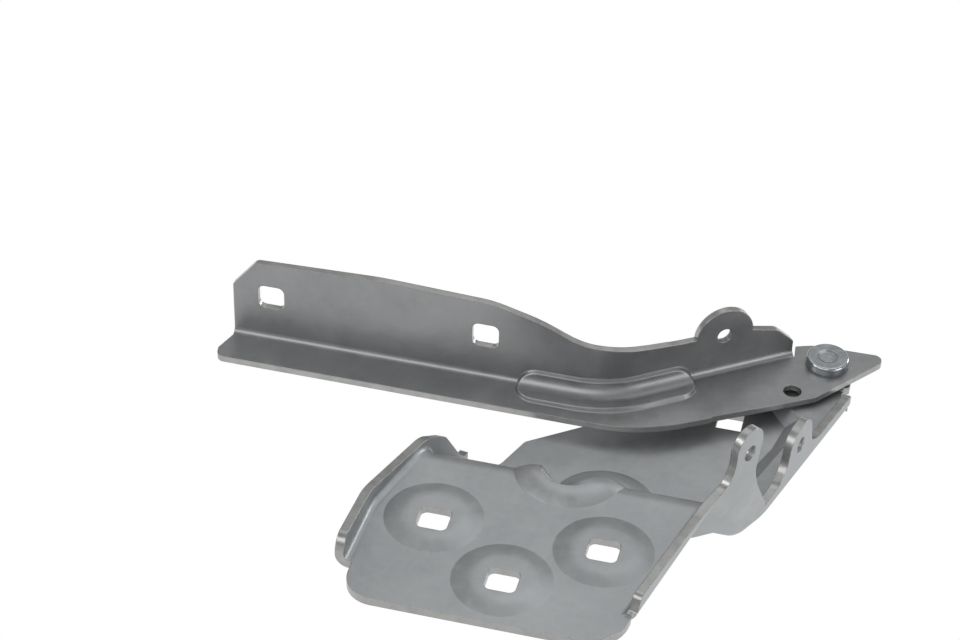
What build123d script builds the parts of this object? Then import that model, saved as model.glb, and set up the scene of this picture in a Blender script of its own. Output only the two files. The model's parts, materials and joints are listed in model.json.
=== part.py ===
# Bonnet hinge: a cranked body bracket, a flanged bonnet arm and the rivet that joins them.
# Millimetres. The origin lies on the seating face under the bracket's mounting plate, midway
# between the two wide-spaced body bolt holes. +Z points from the body towards the arm's flange
# side along the pivot axis, +X towards the two ears, and +Y from the mounting end to the pivot.

from build123d import *
import math
import os

# Driving dimensions: sheets
bracket_sheet = 3.0
arm_sheet = 2.5

# Driving dimensions: pivot
pivot_x = 82.7
pivot_y = 149.0
eye_radius = 9.8
rivet_shank_radius = 5.0
rivet_bore_radius = 4.1
rivet_bore_roof = 1.6
rivet_head_radius = 7.8
rivet_head_height = 3.0
rivet_edge_round = 0.9
rivet_dish_radius = 4.0
rivet_dish_floor_radius = 2.9
rivet_dish_depth = 0.5
bush_wall = 1.0
bush_collar_height = 0.6
bush_collar_radius = 7.9
washer_height = 0.6
washer_radius = 8.2
running_clearance = 0.05
axial_clearance = 0.05

# Driving dimensions: bracket levels, all of the sheet's upper face
plate_top = bracket_sheet
panel_top = plate_top - 34.2
pad_top = plate_top - 29.6
strip_far_top = plate_top - 30.4
strip_near_top = plate_top - 26.0
strip_far_y = 132.0
strip_near_y = 66.0
joggle_slope = 45.0
strip_valley_radius = 9.0
strip_crown = plate_top - 17.0

# Driving dimensions: crank between the mounting plate and the lower panel
crank_top_y = 34.2
crank_slope = 60.0
crank_radius = 8.5

# Driving dimensions: bracket holes and bosses
bolt_spread = 56.5
bolt_back = 22.0
bolt_square = 10.4
bolt_corner = 2.2
boss_base_radius = 16.6
boss_flat_radius = 11.0
boss_rise = 1.9
boss_crest_radius = 16.0
panel_square = 9.2
panel_square_x = 52.8
panel_square_y = 116.2
oval_radius = 10.2
oval_low_x = 17.6
oval_low_y = 59.1
oval_high_x = 9.1
oval_high_y = 36.9
rim_width = 8.6
rim_slope_width = 2.3
rim_rise = 2.5
rim_recess_drop = 4.0
rim_recess_inset = 1.4

# Driving dimensions: bracket flanges
fold_outer = 5.0
fold_inner = 2.0
ear_hole_radius = 3.0
low_ear_along = 46.4
low_ear_z = -11.3
low_ear_top = -2.6
high_ear_along = 13.3
high_ear_z = 14.2
high_ear_top = 24.0
ear_half_top = 7.4
ear_gap_z = -18.4
near_lip_low = 6.2
near_lip_end = 9.2
ear_cut_reach = 8.0
wing_cut_reach = 20.0

# Driving dimensions: arm
arm_line = [(-15.0, 4.5), (-75.1, -38.0), (-215.3, -38.0)]
arm_line_radius = 35.0
arm_end_slant = 2.9
arm_end_round = 2.1
arm_end_overlap = 0.3
arm_end_lean = 3.1
arm_end_chamfer = 8.9
arm_square = 10.0
arm_square_corner = 2.6
arm_square_z = -5.1
arm_square_far_x = -200.9
arm_square_near_x = -120.2
arm_fold_inner = 2.4
arm_fold_leg = 9.0
bead_rise = 1.4
bead_width = 13.3
bead_height = 9.0
bead_step_run = 0.9
bead_crest_radius = 0.8
bead_corner_radius = 2.4
bead_recess_shrink = 1.1
bead_root = 0.5
lug_radius = 11.3
lug_along = 28.7
lug_z = -7.4
lug_hole_radius = 3.0
locating_hole_radius = 3.3
locating_hole_x = -10.0
locating_hole_y = -18.9
square_cut_reach = 10.0
long_side_reach = 60.0
lug_side_reach = 14.0

# Worked out from the driving dimensions
washer_base = pad_top
arm_base = pad_top + washer_height
arm_top = arm_base + arm_sheet
head_base = arm_top + bush_collar_height + axial_clearance
panel_base = panel_top - bracket_sheet
crank_mid_high = plate_top - bracket_sheet / 2
crank_mid_low = panel_top - bracket_sheet / 2
crank_foot_y = crank_top_y + (crank_mid_high - crank_mid_low) / math.tan(math.radians(crank_slope))
bush_inner_radius = rivet_shank_radius + running_clearance
bush_outer_radius = bush_inner_radius + bush_wall

# Reach of the working blocks past the bracket
near_end_y = -39.5
block_low_x = -90.0
block_high_x = 130.0
block_low_y = -70.0
block_high_y = 195.0
block_low_z = panel_base - 10.0
block_high_z = 60.0
wall_top = 40.0
run_past = 60.0
slab_width = 400.0
slab_height = 200.0
fold_near_y = -62.0
fold_far_y = 165.0
near_split_y = -25.4
far_split_y = 132.3

# The bracket's outer faces, seen from above
ear_side = [(93.9, 131.9), (73.4, 60.6), (59.0, 32.3), (44.6, -24.3)]
ear_side_radii = [40.0, 90.0]
flange_side = [(-54.6, -25.4), (-53.4, 3.5), (-41.0, 46.2), (-36.3, 68.9)]
flange_side_radius = 30.0
corner_radius_ear = 14.0
corner_radius_flange = 10.0


def crank_points(height):
    """Corners of the line that runs height above the sheet's middle, from the near end to the eye."""
    shift = height * math.tan(math.radians(crank_slope / 2))
    return [
        (block_low_y, crank_mid_high + height),
        (crank_top_y + shift, crank_mid_high + height),
        (crank_foot_y + shift, crank_mid_low + height),
        (block_high_y, crank_mid_low + height),
    ]


def above_crank():
    """Everything above the underside of the cranked sheet, before the strip and pad are pressed."""
    half = bracket_sheet / 2
    with BuildPart() as space:
        with BuildSketch(Plane.YZ.offset(block_low_x)):
            with BuildLine():
                under = FilletPolyline(*crank_points(-half), radius=[crank_radius - half, crank_radius + half])
                Polyline(under @ 1, (block_high_y, block_high_z), (block_low_y, block_high_z), under @ 0)
            make_face()
        extrude(amount=block_high_x - block_low_x)
    return space.part


def cranked_layer(low, high):
    """The space between two such lines, across the whole width."""
    with BuildPart() as layer:
        with BuildSketch(Plane.YZ.offset(block_low_x)):
            with BuildLine():
                under = FilletPolyline(*crank_points(low), radius=[crank_radius + low, crank_radius - low])
                over = FilletPolyline(*crank_points(high), radius=[crank_radius + high, crank_radius - high])
                Line(under @ 0, over @ 0)
                Line(under @ 1, over @ 1)
            make_face()
        extrude(amount=block_high_x - block_low_x)
    return layer.part


def tapered_step(points, foot_z, level_z, crown_z):
    """A raised region with sloping sides, whose outline is given at one level between foot and crown."""
    slope = math.tan(math.radians(joggle_slope))
    with BuildPart() as step:
        with BuildSketch(Plane.XY.offset(foot_z)):
            with BuildLine():
                Polyline(*points, close=True)
            make_face()
            offset(amount=(level_z - foot_z) / slope, kind=Kind.INTERSECTION, mode=Mode.REPLACE)
        with BuildSketch(Plane.XY.offset(crown_z)):
            with BuildLine():
                Polyline(*points, close=True)
            make_face()
            offset(amount=(level_z - crown_z) / slope, kind=Kind.INTERSECTION, mode=Mode.REPLACE)
        loft(ruled=True)
    return step.part


def below_strip_line(height):
    """Everything below the strip's rising line and the crank it runs into."""
    rise = (strip_near_top - strip_far_top) / (strip_far_y - strip_near_y)
    middle_far = strip_far_top - bracket_sheet / 2 + height
    crank_drop = math.tan(math.radians(crank_slope))
    shift = height * math.tan(math.radians(crank_slope / 2))
    top_y = crank_top_y + shift
    top_z = crank_mid_high + height
    valley_y = (top_z - middle_far + crank_drop * top_y - rise * strip_far_y) / (crank_drop - rise)
    valley_z = middle_far + rise * (strip_far_y - valley_y)
    end_z = middle_far + rise * (strip_far_y - block_high_y)
    with BuildPart() as space:
        with BuildSketch(Plane.YZ.offset(block_low_x)):
            with BuildLine():
                line = FilletPolyline(
                    (block_low_y, top_z), (top_y, top_z), (valley_y, valley_z), (block_high_y, end_z),
                    radius=[crank_radius + height, strip_valley_radius - height],
                )
                Polyline(line @ 1, (block_high_y, block_low_z), (block_low_y, block_low_z), line @ 0)
            make_face()
        extrude(amount=block_high_x - block_low_x)
    return space.part


strip_outline = [
    (14.3, 200.0), (76.6, 119.0), (73.6, 104.4), (59.8, 68.9), (46.0, 42.0), (44.0, 0.0),
    (120.0, 0.0), (120.0, 200.0),
]


def strip_block(drop):
    """The step that carries the ears' strip, or, lowered by the sheet, the hollow under it."""
    block = tapered_step(strip_outline, panel_top - drop, strip_far_top - drop, strip_crown - drop)
    with BuildPart() as strip:
        add(block)
        add(below_strip_line(bracket_sheet / 2 - drop), mode=Mode.INTERSECT)
    return strip.part


pad_outline = [(100.0, 138.2), (58.0, 149.7), (58.0, 172.0), (100.0, 172.0)]


def pad_block(drop):
    """The step that carries the pivot's eye, or the hollow under it."""
    return tapered_step(pad_outline, panel_top - drop, pad_top - drop - 0.2, pad_top - drop)


def boss_block(foot_z):
    """One bolt boss: a low cone that rounds over into a flat top."""
    with BuildPart() as boss:
        with BuildSketch(Plane.XZ):
            with BuildLine():
                crown = FilletPolyline(
                    (0, foot_z + boss_rise), (boss_flat_radius, foot_z + boss_rise), (boss_base_radius, foot_z),
                    radius=boss_crest_radius,
                )
                Polyline(crown @ 1, (0, foot_z), crown @ 0)
            make_face()
        revolve(axis=Axis.Z)
    return boss.part


bolt_places = [(bolt_spread / 2, 0), (-bolt_spread / 2, 0), (0, -bolt_back)]
boss_places = [(28.2, 1.2), (-28.8, 2.4), (-0.4, -20.2)]
oval_length = math.dist((oval_low_x, oval_low_y), (oval_high_x, oval_high_y))
oval_angle = math.degrees(math.atan2(oval_low_y - oval_high_y, oval_low_x - oval_high_x))
oval_middle = ((oval_low_x + oval_high_x) / 2, (oval_low_y + oval_high_y) / 2)


def oval_column(radius):
    """An upright column with the outline of the oval opening, grown to the given end radius."""
    with BuildPart() as column:
        with BuildSketch(Plane.XY.offset(block_low_z)):
            with Locations(oval_middle):
                SlotCenterToCenter(oval_length, 2 * radius, rotation=oval_angle)
        extrude(amount=block_high_z - block_low_z)
    return column.part


def bracket_outline():
    """The plate's ends from above, with the rounded corners, relief notch and eye; its sides are left open."""
    with BuildSketch() as outline:
        with BuildLine():
            near = FilletPolyline(
                (block_high_x, -24.8), (42.8, -24.8), (41.0, near_end_y), (-49.0, near_end_y), (-49.0, -25.0),
                (block_low_x, -25.0), radius=[0.6, corner_radius_ear, corner_radius_flange, 0.6],
            )
            foot = FilletPolyline(
                (block_low_x, 78.8), (-30.9, 67.9), (-22.5, 70.0), (-16.4, 85.2), (29.9, 119.9), (58.2, 141.4),
                radius=[3.0, 5.0, 3.0, 30.0],
            )
            Line(near @ 1, foot @ 0)
            Polyline(foot @ 1, (76.1, 156.2), (pivot_x, pivot_y), (92.5, pivot_y), (92.5, 141.5))
            Polyline(
                (92.5, 141.5), (90.4, 139.4), (90.2, 135.4), (92.0, 133.0), (block_high_x, 111.0), near @ 0,
            )
        make_face()
        with Locations((pivot_x, pivot_y)):
            Circle(eye_radius)
    return outline.sketch


def run_on(points, extra):
    """The same line, carried on straight past both of its ends."""
    first = Vector(*points[0]) + (Vector(*points[0]) - Vector(*points[1])).normalized() * extra
    last = Vector(*points[-1]) + (Vector(*points[-1]) - Vector(*points[-2])).normalized() * extra
    return [(first.X, first.Y), *points[1:-1], (last.X, last.Y)]


def side_region():
    """The plan between the two side lines, carried on past the ends."""
    with BuildSketch() as region:
        with BuildLine():
            ears = FilletPolyline(*run_on(ear_side, 2 * run_past), radius=ear_side_radii)
            wing = FilletPolyline(*run_on(flange_side, 2 * run_past), radius=flange_side_radius)
            Line(ears @ 1, wing @ 0)
            Line(wing @ 1, ears @ 0)
        make_face()
    return region.sketch


def full_height(sketch):
    """A sketch drawn up through the whole working height."""
    with BuildPart() as column:
        with BuildSketch(Plane.XY.offset(block_low_z)):
            add(sketch)
        extrude(amount=block_high_z - block_low_z)
    return column.part


def space_above_sheet():
    """Everything above the underside of the sheet with its pressed strip."""
    with BuildPart() as space:
        add(above_crank())
        add(strip_block(bracket_sheet), mode=Mode.SUBTRACT)
    return space.part


def pressed_sheet():
    """The cranked sheet with its pressed strip, before it is trimmed."""
    half = bracket_sheet / 2
    with BuildPart() as raised:
        add(strip_block(0))
        add(above_crank(), mode=Mode.INTERSECT)
    with BuildPart() as sheet:
        add(cranked_layer(-half, half))
        add(raised.part)
        add(strip_block(bracket_sheet), mode=Mode.SUBTRACT)
    return sheet.part


def upright(points, radius):
    """A bracket sheet standing on edge inside the given outer line, from the underside up."""
    with BuildPart() as wall:
        with BuildSketch(Plane.XY.offset(block_low_z)):
            with BuildLine():
                FilletPolyline(*run_on(points, 2 * run_past), radius=radius)
                offset(amount=bracket_sheet, side=Side.RIGHT)
            make_face()
        extrude(amount=wall_top - block_low_z)
        add(space_above_sheet(), mode=Mode.INTERSECT)
    return wall.part


def plan_wire(points, radius):
    """The outer line of a flange as one wire on the ground plane."""
    with BuildLine() as line:
        FilletPolyline(*run_on(points, 2 * run_past), radius=radius)
    return Wire(line.line.edges())


def lies_along(edge, line, gap):
    """Whether an edge, seen from above, keeps this distance from the line all along."""
    places = [edge @ 0, edge @ 0.5, edge @ 1]
    return all(abs(line.distance_to(Vertex(at.X, at.Y, 0)) - gap) < 0.05 for at in places)


def is_upright(edge):
    """Whether an edge runs straight up."""
    rise = (edge @ 1) - (edge @ 0)
    return abs(rise.Z) > 0.95 * rise.length


def fold_edges(edges, wire, gap):
    """The edges to round where the sheet turns up into a flange."""
    return [
        edge for edge in edges
        if (edge @ 0.5).Z < wall_top / 2 and not is_upright(edge) and lies_along(edge, wire, gap)
    ]


def folded_sheet():
    """The pressed sheet with both flanges turned up and their folds rounded, still uncut."""
    ear_wire = plan_wire(ear_side, ear_side_radii)
    wing_wire = plan_wire(flange_side, flange_side_radius)
    with BuildPart() as folded:
        add(pressed_sheet())
        add(full_height(side_region()), mode=Mode.INTERSECT)
        add(upright(ear_side, ear_side_radii))
        add(upright(flange_side, flange_side_radius))
        with Locations((0, (fold_near_y + fold_far_y) / 2, 0)):
            Box(slab_width, fold_far_y - fold_near_y, slab_height, mode=Mode.INTERSECT)
        fillet(fold_edges(folded.edges(), ear_wire, 0.0), radius=fold_outer)
        fillet(fold_edges(folded.edges(), ear_wire, bracket_sheet), radius=fold_inner)
        fillet(fold_edges(folded.edges(), wing_wire, 0.0), radius=fold_outer)
        fillet(fold_edges(folded.edges(), wing_wire, bracket_sheet), radius=fold_inner)
    return folded.part


def along_plane(start, toward):
    """A plane standing on the line from start to toward: x runs along it and y is up."""
    run = Vector(toward[0] - start[0], toward[1] - start[1], 0).normalized()
    return Plane(origin=(start[0], start[1], 0), x_dir=run, z_dir=run.cross(Vector(0, 0, 1)))


def space_over(plane, points, radii, reach):
    """A cutter that leaves a flange with the given top line, seen square to the sheet."""
    with BuildPart() as cutter:
        with BuildSketch(plane):
            with BuildLine():
                side = FilletPolyline(*points, radius=radii)
                Polyline(side @ 1, (points[-1][0], block_high_z), (points[0][0], block_high_z), side @ 0)
            make_face()
        extrude(amount=reach, both=True)
    return cutter.part


def ear_cutter():
    """What is cut from the ear flange: the space over its lips and round its ears, and the holes."""
    far = along_plane(ear_side[0], ear_side[1])
    far_length = math.dist(ear_side[0], ear_side[1])
    far_points = [
        (-30.0, -24.9), (29.5, -20.6), (35.6, -17.0),
        (low_ear_along - ear_half_top, low_ear_top),
        (low_ear_along + ear_half_top, low_ear_top),
        (56.4, -14.0), (63.0, ear_gap_z), (far_length, ear_gap_z),
    ]
    far_radii = [6.0, 3.0, 7.2, 7.2, 8.0, 6.0]
    middle = along_plane(ear_side[1], ear_side[2])
    middle_length = math.dist(ear_side[1], ear_side[2])
    middle_points = [
        (-9.0, ear_gap_z), (-0.6, ear_gap_z), (6.6, -4.0), (9.0, 4.0),
        (high_ear_along - ear_half_top + 0.6, 15.0),
        (high_ear_along - ear_half_top + 0.4, high_ear_top),
        (high_ear_along + ear_half_top - 0.4, high_ear_top),
        (high_ear_along + ear_half_top, 12.0), (25.0, near_lip_low), (middle_length + 2.0, near_lip_low),
    ]
    middle_radii = [8.0, 12.0, 12.0, 14.0, 6.8, 6.8, 10.0, 5.0]
    near = along_plane(ear_side[2], ear_side[3])
    near_length = math.dist(ear_side[2], ear_side[3])
    near_points = [
        (-2.0, near_lip_low), (10.0, near_lip_low), (30.0, near_lip_low + 1.6), (near_length - 2.4, near_lip_end),
        (near_length + 0.4, 4.0), (near_length + 45.0, 4.0),
    ]
    with BuildPart() as cutter:
        add(space_over(far, far_points, far_radii, ear_cut_reach))
        add(space_over(middle, middle_points, middle_radii, ear_cut_reach))
        add(space_over(near, near_points, [40.0, 40.0, 3.0, 0.5], ear_cut_reach))
        with BuildSketch(far):
            with Locations((low_ear_along, low_ear_z)):
                Circle(ear_hole_radius)
        extrude(amount=ear_cut_reach, both=True)
        with BuildSketch(middle):
            with Locations((high_ear_along, high_ear_z)):
                Circle(ear_hole_radius)
        extrude(amount=ear_cut_reach, both=True)
    return cutter.part


def wing_cutter():
    """The space over the plain flange on the other side, which dies out down the crank."""
    side = Plane(origin=(-43.0, 0, 0), x_dir=(0, 1, 0), z_dir=(1, 0, 0))
    points = [
        (-69.0, 4.2), (-26.0, 4.2), (-23.2, 11.6), (2.0, 9.0), (38.0, 4.6), (50.0, -3.8), (64.0, -25.0),
        (72.0, -26.6), (130.0, -26.6),
    ]
    return space_over(side, points, [0.5, 4.5, 60.0, 14.0, 14.0, 6.0, 0], wing_cut_reach)


def from_oval(point):
    """How far a point lies, seen from above, from the middle line of the oval opening."""
    low = Vector(oval_low_x, oval_low_y)
    run = Vector(oval_high_x, oval_high_y) - low
    along = (Vector(point.X, point.Y) - low).dot(run) / run.length ** 2
    return (Vector(point.X, point.Y) - low - run * min(1.0, max(0.0, along))).length


def oval_ridge(low, high, radius):
    """A ridge with a sloping flank round the oval opening, which follows the crank."""
    with BuildPart() as ridge:
        add(cranked_layer(low, high))
        add(oval_column(radius), mode=Mode.INTERSECT)
        solid = ridge.part.solids()[0]
        crest = [
            edge for edge in ridge.edges()
            if not is_upright(edge) and abs(from_oval(edge @ 0.5) - radius) < 0.02
            and solid.is_inside((edge @ 0.5) + (Vector(*oval_middle, (edge @ 0.5).Z) - (edge @ 0.5)) * 0.02
                                - Vector(0, 0, 0.4))
        ]
        chamfer(crest, length=rim_slope_width)
    return ridge.part


with BuildPart() as middle_slab:
    with Locations((0, (near_split_y + far_split_y) / 2, 0)):
        Box(slab_width, far_split_y - near_split_y, slab_height)

with BuildPart() as flat_ends:
    add(pressed_sheet())
    add(pad_block(0))
    add(pad_block(bracket_sheet), mode=Mode.SUBTRACT)
    add(middle_slab.part, mode=Mode.SUBTRACT)

with BuildPart() as body_bracket:
    add(folded_sheet())
    add(ear_cutter(), mode=Mode.SUBTRACT)
    add(wing_cutter(), mode=Mode.SUBTRACT)
    add(middle_slab.part, mode=Mode.INTERSECT)
    add(flat_ends.part)
    add(oval_ridge(-bracket_sheet / 2, bracket_sheet / 2 + rim_rise, oval_radius + rim_width))
    with Locations(*boss_places):
        add(boss_block(plate_top))
        add(boss_block(0), mode=Mode.SUBTRACT)
    add(
        oval_ridge(
            -bracket_sheet / 2 - rim_recess_drop, rim_rise - bracket_sheet / 2,
            oval_radius + rim_width - rim_recess_inset,
        ),
        mode=Mode.SUBTRACT,
    )
    add(oval_column(oval_radius), mode=Mode.SUBTRACT)
    add(full_height(bracket_outline()), mode=Mode.INTERSECT)
    with BuildSketch(Plane.XY.offset(block_low_z)):
        with Locations(*bolt_places):
            RectangleRounded(bolt_square, bolt_square, bolt_corner)
        with Locations((panel_square_x, panel_square_y)):
            Rectangle(panel_square, panel_square)
        with Locations((pivot_x, pivot_y)):
            Circle(rivet_shank_radius)
    extrude(amount=block_high_z - block_low_z, mode=Mode.SUBTRACT)

# Bonnet arm: an L-shaped strip bent once in plan, with a wide web at the pivot
arm_floor = Plane.XY.offset(arm_base)
arm_fold_outer = arm_fold_inner + arm_sheet


def arm_place(x, y):
    """A point given from the pivot, in the part's frame."""
    return (pivot_x + x, pivot_y + y)


arm_path = [arm_place(x, y) for x, y in arm_line]


def arm_angle():
    """The folded edge of the arm: a short leg of the web and the full flange, along the bend."""
    with BuildPart() as angle:
        with BuildLine(arm_floor):
            path = FilletPolyline(*arm_path, radius=arm_line_radius)
        start = Plane(origin=path @ 0, x_dir=(path % 0).cross(Vector(0, 0, 1)) * -1, z_dir=path % 0)
        with BuildSketch(start):
            with BuildLine():
                outer = FilletPolyline((arm_fold_leg, 0), (0, 0), (0, 45.0), radius=arm_fold_outer)
                inner = FilletPolyline(
                    (arm_fold_leg, arm_sheet), (arm_sheet, arm_sheet), (arm_sheet, 45.0), radius=arm_fold_inner
                )
                Line(outer @ 0, inner @ 0)
                Line(outer @ 1, inner @ 1)
            make_face()
        sweep(path=path)
    return angle.part


def arm_web():
    """The flat web, from behind the fold to the free edge, with the wide head round the pivot."""
    end_x = arm_line[2][0]
    free_edge = [
        (end_x - arm_end_overlap, -44.0), (end_x - arm_end_slant, -51.4), (end_x - arm_end_round, -56.1),
        (-59.8, -56.1), (-36.4, -42.2), (-35.6, -41.0),
        (-1.3, -20.3), (22.6, 10.0), (-6.3, 9.4), (-12.8, 6.9), (-12.2, 0.2),
    ]
    free_edge_radii = [2.0, 3.0, 60.0, 0.5, 0.5, 14.0, 3.0, 12.0, 0.5]
    back_edge = [
        (-12.2, 0.2), (-76.9, -43.4), (end_x - arm_end_overlap, -43.4), (end_x - arm_end_overlap, -44.0),
    ]
    with BuildPart() as web:
        with BuildSketch(arm_floor):
            with BuildLine():
                FilletPolyline(*[arm_place(x, y) for x, y in free_edge], radius=free_edge_radii)
                FilletPolyline(*[arm_place(x, y) for x, y in back_edge], radius=[30.0, 0.1])
            make_face()
        extrude(amount=arm_sheet)
    return web.part


def arm_flange_shape():
    """The flange's outline seen from the side: the long part, and the part with the lug."""
    long_side = Plane(origin=(pivot_x, pivot_y + arm_line[2][1], 0), x_dir=(1, 0, 0), z_dir=(0, -1, 0))
    end_x = arm_line[2][0]
    long_points = [
        (end_x, -40.0), (end_x, -18.0), (end_x - arm_end_lean, -5.5), (end_x + arm_end_chamfer, 9.6),
        (-160.0, 11.3), (-118.0, 9.6),
        (-100.0, 4.6), (-86.0, -2.0), (-62.0, -5.6), (-56.0, -6.2), (-56.0, -40.0),
    ]
    long_radii = [2.0, 3.0, 3.0, 120.0, 40.0, 60.0, 40.0, 60.0, 0]
    lug_side = along_plane(arm_path[0], arm_path[1])
    lug_points = [
        (-4.0, -40.0), (-4.0, -26.0), (0.3, -17.0), (7.0, -10.4), (18.0, -7.4),
        (46.0, -6.6), (56.0, -5.9), (56.0, -40.0),
    ]
    with BuildPart() as shape:
        with BuildSketch(long_side):
            with BuildLine():
                long_line = FilletPolyline(*long_points, radius=long_radii)
                Line(long_line @ 1, long_line @ 0)
            make_face()
        extrude(amount=long_side_reach, both=True)
        with BuildSketch(lug_side):
            with BuildLine():
                side = FilletPolyline(*lug_points, radius=[0, 4.0, 6.0, 10.0, 0, 0])
                Line(side @ 1, side @ 0)
            make_face()
            with Locations((lug_along, lug_z)):
                Circle(lug_radius)
                Circle(lug_hole_radius, mode=Mode.SUBTRACT)
        extrude(amount=lug_side_reach, both=True)
    return shape.part


bead_plan = [(-114.6, -34.0), (-98.4, -51.55), (-70.8, -51.55), (-43.4, -32.2), (-44.2, -9.0), (-76.0, -33.0)]
bead_plan_radii = [1.0, 9.0, 48.55, 8.5, 1.0, 30.0]


def bead_body(depth, shrink):
    """The bead pressed across the fold in the inside of the bend, or, one sheet deeper, its recess."""
    foot = bead_width - shrink
    height = bead_height - shrink
    inside = arm_sheet + bead_rise - depth
    level = arm_sheet - depth
    crest = foot - bead_step_run
    with BuildPart() as bead:
        with BuildLine(arm_floor):
            path = FilletPolyline(*arm_path, radius=arm_line_radius)
        start = Plane(origin=path @ 0, x_dir=(path % 0).cross(Vector(0, 0, 1)) * -1, z_dir=path % 0)
        with BuildSketch(start):
            with BuildLine():
                face = FilletPolyline(
                    (foot, level - bead_root), (foot, level), (crest, inside), (inside, inside),
                    (inside, height - bead_step_run), (level, height), (level - bead_root, height),
                    radius=[0, bead_crest_radius, bead_corner_radius + depth, bead_crest_radius, 0],
                )
                Polyline(face @ 1, (level - bead_root, level - bead_root), face @ 0)
            make_face()
        sweep(path=path)
        with BuildSketch(Plane.XY.offset(arm_base - arm_sheet)):
            with BuildLine():
                FilletPolyline(*[arm_place(x, y) for x, y in bead_plan], radius=bead_plan_radii, close=True)
            make_face()
            if shrink:
                offset(amount=-shrink)
        extrude(amount=bead_height + 2 * arm_sheet, mode=Mode.INTERSECT)
    return bead.part


with BuildPart() as arm_angle_cut:
    add(arm_angle())
    add(arm_flange_shape(), mode=Mode.INTERSECT)

with BuildPart() as bonnet_arm:
    add(arm_angle_cut.part)
    add(arm_web())
    add(bead_body(0, 0))
    add(bead_body(arm_sheet, bead_recess_shrink), mode=Mode.SUBTRACT)
    with BuildSketch(Plane.XZ.offset(-arm_path[2][1] - square_cut_reach)):
        with Locations((pivot_x + arm_square_far_x, arm_square_z), (pivot_x + arm_square_near_x, arm_square_z)):
            RectangleRounded(arm_square, arm_square, arm_square_corner)
    extrude(amount=2 * square_cut_reach, mode=Mode.SUBTRACT)
    with BuildSketch(Plane.XY.offset(block_low_z)):
        with Locations((pivot_x, pivot_y)):
            Circle(bush_outer_radius)
        with Locations(arm_place(locating_hole_x, locating_hole_y)):
            Circle(locating_hole_radius)
    extrude(amount=block_high_z - block_low_z, mode=Mode.SUBTRACT)

# Pivot: a semi-tubular rivet held by the bracket, a flanged bush in the arm, a spacer washer
pivot_axis = Axis((pivot_x, pivot_y, 0), (0, 0, 1))
pivot_section = Plane(origin=(pivot_x, pivot_y, 0), x_dir=(1, 0, 0), z_dir=(0, -1, 0))
rivet_tail = pad_top - bracket_sheet
head_top = head_base + rivet_head_height
dish_floor = head_top - rivet_dish_depth
bore_roof = head_base - rivet_bore_roof

with BuildPart() as pivot_rivet:
    with BuildSketch(pivot_section):
        with BuildLine():
            Polyline(
                (0, bore_roof), (0, dish_floor), (rivet_dish_floor_radius, dish_floor),
                (rivet_dish_radius, head_top), (rivet_head_radius - rivet_edge_round, head_top),
            )
            RadiusArc(
                (rivet_head_radius - rivet_edge_round, head_top),
                (rivet_head_radius, head_top - rivet_edge_round), rivet_edge_round,
            )
            Polyline(
                (rivet_head_radius, head_top - rivet_edge_round), (rivet_head_radius, head_base),
                (rivet_shank_radius, head_base), (rivet_shank_radius, rivet_tail),
                (rivet_bore_radius, rivet_tail), (rivet_bore_radius, bore_roof), (0, bore_roof),
            )
        make_face()
    revolve(axis=pivot_axis)

with BuildPart() as pivot_bush:
    with BuildSketch(pivot_section):
        with BuildLine():
            Polyline(
                (bush_inner_radius, arm_base), (bush_outer_radius, arm_base), (bush_outer_radius, arm_top),
                (bush_collar_radius, arm_top), (bush_collar_radius, arm_top + bush_collar_height),
                (bush_inner_radius, arm_top + bush_collar_height), close=True,
            )
        make_face()
    revolve(axis=pivot_axis)

with BuildPart() as spacer_washer:
    with BuildSketch(Plane.XY.offset(washer_base)):
        with Locations((pivot_x, pivot_y)):
            Circle(washer_radius)
            Circle(rivet_shank_radius, mode=Mode.SUBTRACT)
    extrude(amount=washer_height - axial_clearance)

pieces = {
    "body_bracket": body_bracket,
    "bonnet_arm": bonnet_arm,
    "pivot_rivet": pivot_rivet,
    "pivot_bush": pivot_bush,
    "spacer_washer": spacer_washer,
}
os.makedirs("parts", exist_ok=True)
for name, piece in pieces.items():
    piece.part.label = name
    export_step(piece.part, f"parts/{name}.step")
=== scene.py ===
import json
import math

import bmesh
import bpy
from mathutils import Matrix, Vector


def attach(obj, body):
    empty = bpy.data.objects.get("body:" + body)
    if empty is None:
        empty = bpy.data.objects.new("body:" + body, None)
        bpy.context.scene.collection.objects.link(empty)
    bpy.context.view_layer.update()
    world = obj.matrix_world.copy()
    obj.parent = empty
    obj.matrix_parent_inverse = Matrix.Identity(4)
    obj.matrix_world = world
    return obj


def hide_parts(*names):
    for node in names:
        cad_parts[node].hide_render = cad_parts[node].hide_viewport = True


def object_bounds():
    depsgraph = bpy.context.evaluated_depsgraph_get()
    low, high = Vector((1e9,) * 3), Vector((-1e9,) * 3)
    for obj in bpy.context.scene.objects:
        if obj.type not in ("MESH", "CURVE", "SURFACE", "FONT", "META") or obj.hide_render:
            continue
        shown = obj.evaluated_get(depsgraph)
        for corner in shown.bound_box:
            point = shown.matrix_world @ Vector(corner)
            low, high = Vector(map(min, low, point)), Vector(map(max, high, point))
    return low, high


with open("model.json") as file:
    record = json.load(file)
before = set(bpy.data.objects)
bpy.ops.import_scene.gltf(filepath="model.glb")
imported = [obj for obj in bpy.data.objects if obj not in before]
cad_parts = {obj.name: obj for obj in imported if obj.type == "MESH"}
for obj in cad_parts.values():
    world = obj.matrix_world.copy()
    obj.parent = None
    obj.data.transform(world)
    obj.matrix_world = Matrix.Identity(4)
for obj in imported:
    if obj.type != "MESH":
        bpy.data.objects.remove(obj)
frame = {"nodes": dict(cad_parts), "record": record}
cad_low, cad_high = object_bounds()
scene = bpy.context.scene

# Camera, in the part's frame: where it looks, from how far and with what lens
camera_azimuth = math.radians(12.79)
camera_elevation = math.radians(38.6)
camera_roll = math.radians(1.89)
camera_target = Vector((-0.0476, 0.14345, -0.02693))
camera_distance = 1.0004
camera_lens = 99.75
sensor_width = 36.0

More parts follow.
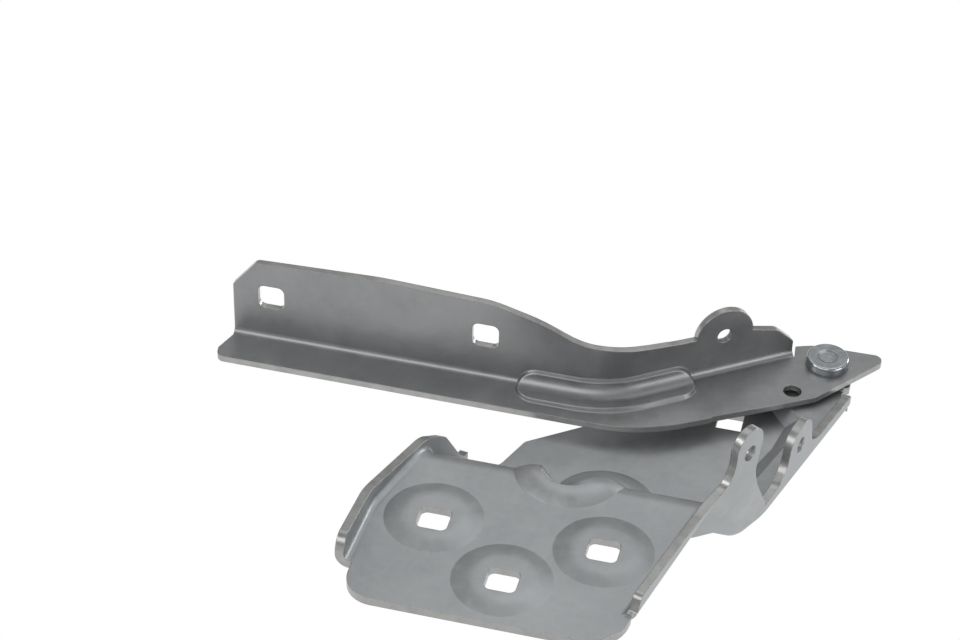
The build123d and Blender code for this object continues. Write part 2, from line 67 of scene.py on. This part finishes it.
# Stage and light
floor_height = -0.0349
floor_half = 30.0
floor_grey = 0.40
sky_strength = 0.40

# Sheet metal: what tells a cut edge from a face, and the size of its finish
sheared_edge_width = 0.0034
sheared_square_share = 0.8
square_turn = math.radians(60.0)
smooth_turn = math.radians(17.6)
flat_face_weight = 80
merge_gap = 0.000002
cloud_scale = 26.0
patch_scale = 150.0
grain_scale = 2400.0
edge_scale = 240.0
edge_dark = (0.35, 0.35, 0.345)
edge_light = (0.43, 0.43, 0.42)
edge_roughness = (0.26, 0.34)
sheet_grain_strength = 0.2
sheet_grain_depth = 0.00003
sheet_edge_round = 0.0005

# Turned pieces: the size of their finish
speck_scale = 500.0
haze_scale = 220.0
speck_strength = 0.15
speck_depth = 0.00002

# The arm's inner corner, in millimetres: its outer line seen from above, the sheet and the fold
pivot = (82.7, 149.0)
arm_line = ((-15.0, 4.5), (-75.1, -38.0), (-215.3, -38.0))
arm_line_radius = 35.0
arm_top = -23.5
arm_sheet = 2.5
arm_fold_radius = 2.4

# The bead pressed across that corner
bead_half_length = 32.4
bead_half_width = 8.4
bead_rise = 1.55
bead_step = 1.5
bead_sink = 0.03
bead_border_along = 4.6
bead_border_across = 1.6
bead_hollow_radius = 4.8
bead_cell = 0.35
bead_foot_width = 13.6
bead_foot_height = 9.3
bead_swell = 1.3
bead_clear_along = 5.0
bead_clear_off = 0.02
bead_fold_band = 0.06

# The bracket's crank and the raised rim round its oval opening, in millimetres
plate_middle = 1.5
panel_middle = -32.7
crank_top_y = 34.2
crank_slope = math.radians(60.0)
crank_radius = 8.5
half_sheet = 1.5
oval_ends = ((17.6, 59.1), (9.1, 36.9))
oval_radius = 10.2
rim_width = 8.6
rim_rise = 2.5
rim_shoulder = 0.85
rim_border = 0.8
rim_inner_gap = 0.1
rim_outer_gap = 0.05
rim_clear_off = 0.02
rim_rows = 22
rim_side_steps = 24
rim_end_steps = 40

# Threads in the tapped holes
thread_pitch = 0.001
thread_depth = 0.00032
thread_half_width = 0.45 * thread_pitch
thread_steps = 32


def set_inputs(node, **values):
    """Set plain values straight on a node's sockets, whose spaces are written as underscores."""
    for name, value in values.items():
        node.inputs[name.replace("_", " ")].default_value = value


def new_material(name):
    """A node material with a principled shader, and the output that the shader feeds."""
    material = bpy.data.materials.new(name)
    material.use_nodes = True
    tree = material.node_tree
    tree.nodes.clear()
    output = tree.nodes.new("ShaderNodeOutputMaterial")
    shader = tree.nodes.new("ShaderNodeBsdfPrincipled")
    tree.links.new(shader.outputs["BSDF"], output.inputs["Surface"])
    return material, tree, shader, output


def noise(tree, place, scale, detail, rough, distort=0.0):
    """A noise texture fed by a place."""
    node = tree.nodes.new("ShaderNodeTexNoise")
    set_inputs(node, Scale=scale, Detail=detail, Roughness=rough, Distortion=distort)
    tree.links.new(place, node.inputs["Vector"])
    return node.outputs["Fac"]


def spread(tree, source, low_out, high_out, low_in=0.3, high_in=0.7):
    """Map one range of values onto another, without going past its ends."""
    node = tree.nodes.new("ShaderNodeMapRange")
    tree.links.new(source, node.inputs["Value"])
    set_inputs(node, From_Min=low_in, From_Max=high_in, To_Min=low_out, To_Max=high_out)
    return node.outputs["Result"]


def blend_colours(tree, amount, first, second):
    """Mix two colours by an amount; each is a socket or a plain colour."""
    node = tree.nodes.new("ShaderNodeMix")
    node.data_type = "RGBA"
    tree.links.new(amount, node.inputs["Factor"])
    for socket, colour in ((node.inputs[6], first), (node.inputs[7], second)):
        if isinstance(colour, tuple):
            socket.default_value = (*colour, 1.0)
        else:
            tree.links.new(colour, socket)
    return node.outputs[2]


def blend_values(tree, amount, first, second):
    """Mix two values by an amount."""
    node = tree.nodes.new("ShaderNodeMix")
    node.data_type = "FLOAT"
    tree.links.new(amount, node.inputs["Factor"])
    tree.links.new(first, node.inputs[2])
    tree.links.new(second, node.inputs[3])
    return node.outputs[0]


def soft_surface(tree, shader, height, strength, depth, edge_round):
    """Give a shader fine relief from a height, with the edges softened."""
    rounding = tree.nodes.new("ShaderNodeBevel")
    rounding.samples = 6
    set_inputs(rounding, Radius=edge_round)
    bump = tree.nodes.new("ShaderNodeBump")
    set_inputs(bump, Strength=strength, Distance=depth)
    tree.links.new(height, bump.inputs["Height"])
    tree.links.new(rounding.outputs["Normal"], bump.inputs["Normal"])
    tree.links.new(bump.outputs["Normal"], shader.inputs["Normal"])


def sheet_steel(name, dark, light, rough, metal):
    """Galvanised sheet: cloudy zinc with faint patches, fine grain, and bright sheared edges."""
    material, tree, shader, _ = new_material(name)
    place = tree.nodes.new("ShaderNodeTexCoord").outputs["Object"]
    clouds = noise(tree, place, cloud_scale, 3.0, 0.5, 0.6)
    patches = noise(tree, place, patch_scale, 6.0, 0.68, 0.3)
    grain = noise(tree, place, grain_scale, 2.0, 0.6)
    tone = blend_values(tree, spread(tree, clouds, 0.35, 0.5), spread(tree, patches, 0.0, 1.0),
                        spread(tree, clouds, 0.0, 1.0))
    face = blend_colours(tree, tone, dark, light)
    sheared = tree.nodes.new("ShaderNodeAttribute")
    sheared.attribute_name = "sheared"
    edge_tone = noise(tree, place, edge_scale, 2.0, 0.5)
    edge = blend_colours(tree, spread(tree, edge_tone, 0.0, 1.0), edge_dark, edge_light)
    tree.links.new(blend_colours(tree, sheared.outputs["Fac"], face, edge), shader.inputs["Base Color"])
    face_roughness = spread(tree, patches, rough - 0.05, rough + 0.05)
    cut_roughness = spread(tree, edge_tone, *edge_roughness)
    roughness = blend_values(tree, sheared.outputs["Fac"], face_roughness, cut_roughness)
    tree.links.new(roughness, shader.inputs["Roughness"])
    shader.inputs["Metallic"].default_value = metal
    soft_surface(tree, shader, grain, sheet_grain_strength, sheet_grain_depth, sheet_edge_round)
    return material


def turned_metal(name, dark, light, rough, metal, edge_round):
    """Plate or coating on a turned piece: fine specks, a slight haze and soft edges."""
    material, tree, shader, _ = new_material(name)
    place = tree.nodes.new("ShaderNodeTexCoord").outputs["Object"]
    specks = noise(tree, place, speck_scale, 3.0, 0.5)
    haze = noise(tree, place, haze_scale, 3.0, 0.5)
    tone = blend_colours(tree, spread(tree, specks, 0.0, 1.0), dark, light)
    tree.links.new(tone, shader.inputs["Base Color"])
    tree.links.new(spread(tree, haze, rough - 0.05, rough + 0.07), shader.inputs["Roughness"])
    shader.inputs["Metallic"].default_value = metal
    soft_surface(tree, shader, specks, speck_strength, speck_depth, edge_round)
    return material


def patches_of(mesh):
    """Group the faces that run smoothly into one another."""
    left = set(mesh.faces)
    while left:
        patch = [left.pop()]
        for face in patch:
            for edge in face.edges:
                for other in edge.link_faces:
                    if other in left and face.normal.angle(other.normal, 0.0) < smooth_turn:
                        left.remove(other)
                        patch.append(other)
        yield patch


def is_sheared(patch):
    """Whether a patch is the narrow cut edge of a sheet, square to the faces on both sides of it."""
    inside = set(patch)
    outline = [
        edge for face in patch for edge in face.edges
        if sum(other in inside for other in edge.link_faces) == 1
    ]
    length = sum(edge.calc_length() for edge in outline)
    square = sum(edge.calc_length() for edge in outline if edge.calc_face_angle(0.0) > square_turn)
    area = sum(face.calc_area() for face in patch)
    if length == 0:
        return False
    return 2 * area / length < sheared_edge_width and square > sheared_square_share * length


def lay_grid(mesh, columns, rows, place):
    """Lay a grid of faces, each corner where a function of its shares across and along puts it."""
    corners = bmesh.ops.create_grid(mesh, x_segments=columns, y_segments=rows, size=1.0)["verts"]
    for corner in corners:
        corner.co = place((corner.co.x + 1) / 2, (corner.co.y + 1) / 2)
    return corners


def arm_bend():
    """The bend of the arm's outer line.

    It gives the corner, the ways out to the pivot and to the far end, how far from the corner the
    arc starts, and half the arc's length.
    """
    near, corner, far = (Vector(point) + Vector(pivot) for point in arm_line)
    to_near = (near - corner).normalized()
    to_far = (far - corner).normalized()
    turn = math.pi - to_near.angle(to_far)
    return corner, to_near, to_far, arm_line_radius * math.tan(turn / 2), arm_line_radius * turn / 2


def on_arm(along, width, height):
    """The place at a distance along the arm's outer line, a width inward from it and over the web."""
    corner, to_near, to_far, tangent, half_arc = arm_bend()
    inward = Vector((0.0, -1.0))
    if along < -half_arc:
        spot = corner + to_far * (tangent - half_arc - along)
        side = inward
    elif along > half_arc:
        spot = corner + to_near * (tangent - half_arc + along)
        side = Vector((to_near.y, -to_near.x))
    else:
        start = corner + to_far * tangent
        centre = start - inward * arm_line_radius
        angle = (along + half_arc) / arm_line_radius
        side = Vector((math.sin(angle), -math.cos(angle)))
        spot = centre + side * arm_line_radius
    place = spot + side * width
    return Vector((place.x, place.y, arm_top + height)) / 1000


def from_arm_line(point):
    """How far along the arm's outer line a point lies, how far inward from it and how high over the web."""
    corner, to_near, to_far, tangent, half_arc = arm_bend()
    flat = Vector((point.x, point.y)) * 1000
    height = point.z * 1000 - arm_top
    far_along = (flat - corner).dot(to_far) - tangent
    near_along = (flat - corner).dot(to_near) - tangent
    if far_along > 0:
        return -half_arc - far_along, corner.y - flat.y, height
    if near_along > 0:
        return half_arc + near_along, (flat - corner).dot(Vector((to_near.y, -to_near.x))), height
    centre = corner + to_far * tangent + Vector((0.0, arm_line_radius))
    spoke = flat - centre
    angle = math.atan2(spoke.x, -spoke.y)
    return angle * arm_line_radius - half_arc, spoke.length - arm_line_radius, height


def corner_section(length, low, radius, out):
    """A point on the corner's section, by its length from a start out on the web."""
    flat = out - arm_sheet - low - radius
    if length < flat:
        return out - length, low
    angle = min(math.pi / 2, (length - flat) / radius)
    width = arm_sheet + low + radius - radius * math.sin(angle)
    height = low + radius - radius * math.cos(angle)
    return width, height + max(0.0, length - flat - radius * math.pi / 2)


def bead_section(along, across):
    """Where the corner's surface lies, at a distance along it and across it, with the bead pressed out."""
    out = arm_sheet + arm_fold_radius
    plain = Vector(corner_section(across, -bead_sink, arm_fold_radius + bead_sink, out))
    past = max(0.0, abs(along) - (bead_half_length - bead_half_width))
    depth = bead_half_width - math.hypot(past, across)
    if depth < 0:
        return plain
    bead_out = out + bead_half_width
    top = arm_fold_radius + bead_half_width - arm_fold_radius * math.pi / 2
    whole = bead_out - arm_sheet + top - 2 * bead_rise - (2 - math.pi / 2) * bead_hollow_radius
    share = (across + bead_half_width) / (2 * bead_half_width)
    raised = Vector(corner_section(whole * share, bead_rise, bead_hollow_radius, bead_out))
    return plain.lerp(raised, math.sin(min(1.0, depth / bead_step) * math.pi / 2) ** bead_swell)


def add_bead(mesh):
    """Take the plain bead out of the arm's corner and lay the rounded one there."""
    fold_centre = arm_sheet + arm_fold_radius
    plain = []
    for face in mesh.faces:
        along, width, height = from_arm_line(face.calc_center_median())
        near_bead = abs(along) < bead_half_length + bead_clear_along
        over_web = arm_sheet + bead_clear_off < width < bead_foot_width
        off_sheet = bead_clear_off < height < bead_foot_height
        from_fold = math.hypot(fold_centre - width, arm_fold_radius - height) - arm_fold_radius
        on_fold = width < fold_centre and height < arm_fold_radius and abs(from_fold) < bead_fold_band
        if near_bead and over_web and off_sheet and not on_fold:
            plain.append(face)
    bmesh.ops.delete(mesh, geom=plain, context="FACES_ONLY")
    reach_along = bead_half_length + bead_border_along
    reach_across = bead_half_width + bead_border_across

    def place(share_along, share_across):
        along = reach_along * (2 * share_along - 1)
        across = reach_across * (2 * share_across - 1)
        return on_arm(along, *bead_section(along, across))

    lay_grid(mesh, round(2 * reach_along / bead_cell), round(2 * reach_across / bead_cell), place)


def crank_level(y, over):
    """How high the cranked sheet's middle line, moved out by over, lies at a place along the bracket."""
    crank_foot_y = crank_top_y + (plate_middle - panel_middle) / math.tan(crank_slope)
    shift = over * math.tan(crank_slope / 2)
    top_radius = crank_radius + over
    foot_radius = crank_radius - over
    top_tangent = top_radius * math.tan(crank_slope / 2)
    foot_tangent = foot_radius * math.tan(crank_slope / 2)
    top_y = crank_top_y + shift
    foot_y = crank_foot_y + shift
    if y < top_y - top_tangent:
        return plate_middle + over
    if y < top_y + top_tangent * math.cos(crank_slope):
        run = y - (top_y - top_tangent)
        return plate_middle + over - top_radius + math.sqrt(top_radius ** 2 - run ** 2)
    if y < foot_y - foot_tangent * math.cos(crank_slope):
        return plate_middle + over - (y - top_y) * math.tan(crank_slope)
    if y < foot_y + foot_tangent:
        run = foot_y + foot_tangent - y
        return panel_middle + over + foot_radius - math.sqrt(foot_radius ** 2 - run ** 2)
    return panel_middle + over


def oval_spokes():
    """Starts and directions of the lines that run out square from the oval's middle line."""
    low, high = (Vector(end) for end in oval_ends)
    run = (low - high).normalized()
    side = Vector((-run.y, run.x))
    for start, end, out in ((high, low, -side), (low, high, side)):
        for step in range(rim_side_steps):
            yield start.lerp(end, step / rim_side_steps), out
        ahead = (end - start).normalized()
        for step in range(rim_end_steps):
            angle = math.pi * step / rim_end_steps
            yield end, out * math.cos(angle) + ahead * math.sin(angle)


def from_oval(point):
    """How far a point lies, seen from above, from the middle line of the oval opening."""
    low, high = (Vector(end) for end in oval_ends)
    flat = Vector((point.x, point.y)) * 1000
    run = high - low
    share = min(1.0, max(0.0, (flat - low).dot(run) / run.length_squared))
    return (flat - low - run * share).length


def add_rim(mesh):
    """Take the plain rim off the oval opening and lay a rounded one there."""
    reach = oval_radius + rim_width
    plain = []
    for face in mesh.faces:
        centre = face.calc_center_median()
        on_rim = oval_radius + rim_inner_gap < from_oval(centre) < reach + rim_outer_gap
        if on_rim and centre.z * 1000 > crank_level(centre.y * 1000, half_sheet) + rim_clear_off:
            plain.append(face)
    bmesh.ops.delete(mesh, geom=plain, context="FACES_ONLY")
    spokes = list(oval_spokes())

    def place(share_round, share_inward):
        start, out = spokes[round(share_round * len(spokes)) % len(spokes)]
        row = round(share_inward * (rim_rows + 1)) - 1
        inward = rim_width * row / rim_rows if row >= 0 else -rim_border
        climb = min(1.0, max(0.0, inward / rim_width / rim_shoulder))
        spot = start + out * (reach - inward)
        level = crank_level(spot.y, half_sheet + rim_rise * math.sin(climb * math.pi / 2))
        sink = bead_sink if row <= 0 else 0.0
        return Vector((spot.x, spot.y, level - sink)) / 1000

    corners = lay_grid(mesh, len(spokes), rim_rows + 1, place)
    bmesh.ops.remove_doubles(mesh, verts=corners, dist=merge_gap)


def add_thread(mesh, hole):
    """The ridge of a thread, wound along the wall of a tapped hole."""
    axis = Vector(hole["axis"]).normalized()
    across = axis.orthogonal().normalized()
    other = axis.cross(across)
    radius = hole["dims"]["r_mm"] / 1000
    length = hole["dims"]["length_mm"] / 1000
    steps = round((length / thread_pitch - 1) * thread_steps)

    def place(share_over, share_round):
        step = round(share_round * steps)
        angle = 2 * math.pi * step / thread_steps
        spoke = across * math.cos(angle) + other * math.sin(angle)
        over = 2 * share_over - 1
        shift = thread_pitch * (step / thread_steps + 0.5) - length / 2 + over * thread_half_width
        return Vector(hole["pos_m"]) + axis * shift + spoke * (radius - thread_depth * (1 - abs(over)))

    lay_grid(mesh, 2, steps, place)


def pressing(node_name, body, material, tapped_holes, add_form):
    """A pressed sheet, from a merged copy of its solid, with its cut edges told from its faces."""
    source = frame["nodes"][node_name]
    mesh = bmesh.new()
    mesh.from_mesh(source.data)
    bmesh.ops.remove_doubles(mesh, verts=mesh.verts, dist=merge_gap)
    mesh.normal_update()
    cut = mesh.faces.layers.float.new("sheared")
    for patch in patches_of(mesh):
        value = 1.0 if is_sheared(patch) else 0.0
        for face in patch:
            face[cut] = value
    add_form(mesh)
    for mount in frame["record"]["mounts"]:
        if mount["name"] in tapped_holes:
            add_thread(mesh, mount)
    mesh.normal_update()
    for face in mesh.faces:
        face.smooth = True
    for edge in mesh.edges:
        edge.smooth = len(edge.link_faces) == 2 and edge.calc_face_angle(0.0) < smooth_turn
    data = bpy.data.meshes.new(node_name + "_pressing")
    mesh.to_mesh(data)
    mesh.free()
    data.materials.append(material)
    piece = bpy.data.objects.new(node_name + "_pressing", data)
    scene.collection.objects.link(piece)
    flats_first = piece.modifiers.new("flats first", "WEIGHTED_NORMAL")
    flats_first.mode = "FACE_AREA"
    flats_first.weight = flat_face_weight
    flats_first.keep_sharp = True
    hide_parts(node_name)
    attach(piece, body)


def dress(node_name, material):
    """Give a kept node its material."""
    piece = frame["nodes"][node_name]
    piece.data.materials.clear()
    piece.data.materials.append(material)


bracket_steel = sheet_steel("bracket_steel", (0.32, 0.335, 0.345), (0.46, 0.475, 0.485), 0.42, 0.85)
arm_steel = sheet_steel("arm_steel", (0.255, 0.259, 0.263), (0.36, 0.364, 0.368), 0.40, 0.88)
rivet_zinc = turned_metal("rivet_zinc", (0.38, 0.40, 0.42), (0.46, 0.485, 0.505), 0.16, 0.95, 0.0002)
bush_metal = turned_metal("bush_metal", (0.16, 0.16, 0.17), (0.26, 0.26, 0.27), 0.45, 0.6, 0.0001)
washer_steel = turned_metal("washer_steel", (0.38, 0.39, 0.40), (0.52, 0.53, 0.54), 0.38, 0.8, 0.0001)

ear_holes = ("ear_hole_low", "ear_hole_high")
pressing("body_bracket", "bracket", bracket_steel, ear_holes, add_rim)
pressing("bonnet_arm", "arm", arm_steel, ("lug_hole",), add_bead)
dress("pivot_rivet", rivet_zinc)
dress("pivot_bush", bush_metal)
dress("spacer_washer", washer_steel)


def white_floor():
    """A plain floor that the camera sees as white, and everything else as soft grey."""
    shape = bmesh.new()
    bmesh.ops.create_grid(shape, x_segments=1, y_segments=1, size=floor_half)
    bmesh.ops.translate(shape, verts=shape.verts, vec=(0.0, 0.0, floor_height))
    data = bpy.data.meshes.new("floor")
    shape.to_mesh(data)
    shape.free()
    floor = bpy.data.objects.new("floor", data)
    scene.collection.objects.link(floor)
    material, tree, shader, output = new_material("floor")
    set_inputs(shader, Base_Color=(floor_grey, floor_grey, floor_grey, 1.0), Roughness=0.9)
    glow = tree.nodes.new("ShaderNodeEmission")
    set_inputs(glow, Color=(1.0, 1.0, 1.0, 1.0), Strength=1.0)
    mix = tree.nodes.new("ShaderNodeMixShader")
    path = tree.nodes.new("ShaderNodeLightPath")
    seen = path.outputs["Is Camera Ray"]
    for ray in ("Is Glossy Ray", "Is Transmission Ray"):
        either = tree.nodes.new("ShaderNodeMath")
        either.operation = "MAXIMUM"
        tree.links.new(seen, either.inputs[0])
        tree.links.new(path.outputs[ray], either.inputs[1])
        seen = either.outputs["Value"]
    tree.links.new(seen, mix.inputs["Fac"])
    tree.links.new(shader.outputs["BSDF"], mix.inputs[1])
    tree.links.new(glow.outputs["Emission"], mix.inputs[2])
    tree.links.new(mix.outputs["Shader"], output.inputs["Surface"])
    data.materials.append(material)


def soft_box(name, place, aim, width, height, power):
    """A large soft lamp, placed and aimed from the middle of the object."""
    middle = (cad_low + cad_high) / 2
    data = bpy.data.lights.new(name, "AREA")
    data.shape = "RECTANGLE"
    data.size = width
    data.size_y = height
    data.energy = power
    lamp = bpy.data.objects.new(name, data)
    lamp.location = middle + Vector(place)
    lamp.rotation_euler = (Vector(aim) - Vector(place)).to_track_quat("-Z", "Y").to_euler()
    scene.collection.objects.link(lamp)


def set_sky():
    """An even pale sky."""
    world = bpy.data.worlds.new("studio")
    scene.world = world
    world.use_nodes = True
    set_inputs(world.node_tree.nodes["Background"], Color=(1.0, 1.0, 1.0, 1.0), Strength=sky_strength)


def set_camera():
    """The camera at the photograph's angle, with its slight roll."""
    level_part = math.cos(camera_elevation)
    back = Vector((
        math.sin(camera_azimuth) * level_part,
        -math.cos(camera_azimuth) * level_part,
        math.sin(camera_elevation),
    ))
    level = Vector((math.cos(camera_azimuth), math.sin(camera_azimuth), 0.0))
    upward = back.cross(level)
    right = level * math.cos(camera_roll) + upward * math.sin(camera_roll)
    up = upward * math.cos(camera_roll) - level * math.sin(camera_roll)
    data = bpy.data.cameras.new("camera")
    data.lens = camera_lens
    data.sensor_width = sensor_width
    data.clip_start = 0.05
    camera = bpy.data.objects.new("camera", data)
    turn = Matrix((right, up, back)).transposed().to_4x4()
    camera.matrix_world = Matrix.Translation(camera_target + back * camera_distance) @ turn
    scene.collection.objects.link(camera)
    scene.camera = camera


white_floor()
soft_box("overhead", (0.2, 0.9, 1.5), (0.0, 0.0, 0.0), 1.6, 1.2, 4.5)
soft_box("front", (-0.3, -1.1, 1.3), (0.0, 0.0, 0.0), 1.5, 0.9, 7.5)
soft_box("behind", (1.3, 1.5, 0.4), (0.0, 0.0, 0.0), 0.5, 0.5, 7.0)
soft_box("left", (-1.25, -0.5, 1.2), (0.0, 0.0, 0.0), 0.6, 0.6, 5.0)
soft_box("right", (1.5, -0.5, 0.5), (0.0, 0.0, 0.0), 0.9, 0.7, 6.0)
set_sky()
set_camera()

scene.view_settings.view_transform = "Standard"
